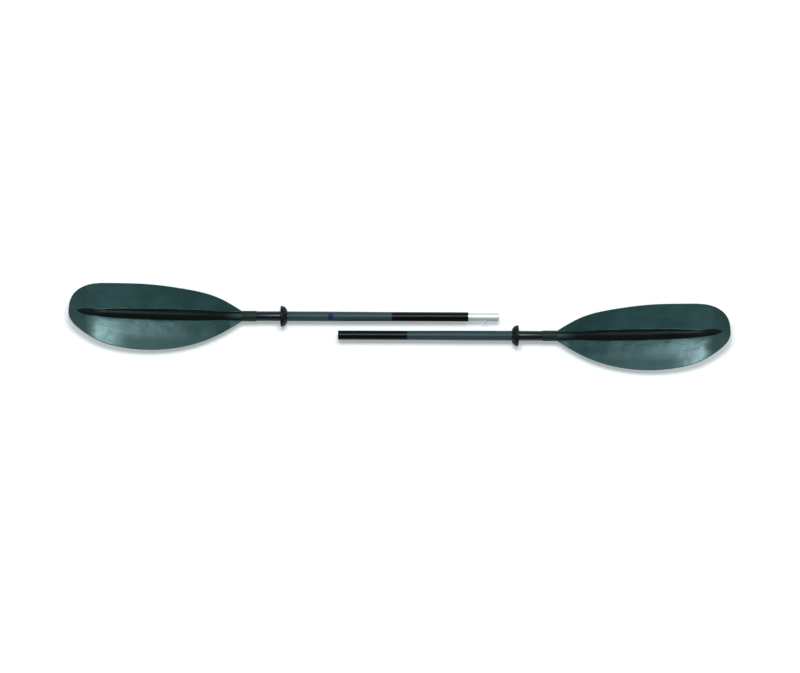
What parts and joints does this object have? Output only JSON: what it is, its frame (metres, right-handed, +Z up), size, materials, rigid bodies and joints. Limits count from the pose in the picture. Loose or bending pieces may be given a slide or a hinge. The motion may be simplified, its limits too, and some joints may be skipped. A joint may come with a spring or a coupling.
{
  "type": "kayak paddle",
  "caption": "Take-apart double-bladed kayak paddle laid as two halves, with a ferrule and snap button, drip rings and asymmetric spooned blades.",
  "frame": {"origin": "on the ground, under the centre of the box round both halves as they lie", "axes": "+X along both shafts towards the half with the open tube, +Y towards the fuller long edge of both blades, +Z up out of the power faces"},
  "size_m": [1.923, 0.2496, 0.061],
  "materials": {
    "blade_face": "satin moulded",
    "gloss_sleeve": "gloss",
    "grip": "satin",
    "joint_sleeve": "gloss",
    "ring_rubber": "moulded",
    "bare_aluminium": "drawn",
    "rivet_metal": "satin",
    "button_steel": "polished",
    "spring_steel": "satin",
    "plug": "matte",
    "foam": "closed-cell foam"
  },
  "bodies": {
    "left_half": {"left_blade": "blade_face", "left_shaft": "bare_aluminium", "left_blade_sleeve": "gloss_sleeve", "left_grip": "grip", "left_joint_sleeve": "joint_sleeve", "left_blade_rivets": "rivet_metal", "left_end_plug": "plug", "left_float_plug": "foam", "ferrule": "bare_aluminium", "ferrule_rivets": "rivet_metal", "button_spring": "spring_steel"},
    "left_ring": {"left_drip_ring": "ring_rubber"},
    "button": {"snap_button": "button_steel"},
    "right_half": {"right_blade": "blade_face", "right_shaft": "bare_aluminium", "right_blade_sleeve": "gloss_sleeve", "right_grip": "grip", "right_joint_sleeve": "joint_sleeve", "right_blade_rivets": "rivet_metal", "right_end_plug": "plug", "right_float_plug": "foam"},
    "right_ring": {"right_drip_ring": "ring_rubber"}
  },
  "joints": [
    {"name": "halves_slide", "type": "slide", "parent": "left_half", "child": "right_half", "axis": [1, 0, 0], "range_m": [0, 0.47]},
    {"name": "left_ring_slide", "type": "slide", "parent": "left_half", "child": "left_ring", "axis": [-1, 0, 0], "range_m": [0, 0.068]},
    {"name": "right_ring_slide", "type": "slide", "parent": "right_half", "child": "right_ring", "axis": [1, 0, 0], "range_m": [0, 0.068]},
    {"name": "button_press", "type": "slide", "parent": "left_half", "child": "button", "axis": [0, 0.9781, -0.2079], "range_m": [0, 0.0055], "stiffness_N_per_m": 1500, "springref_m": -0.001, "deforming": ["button_spring"]}
  ]
}
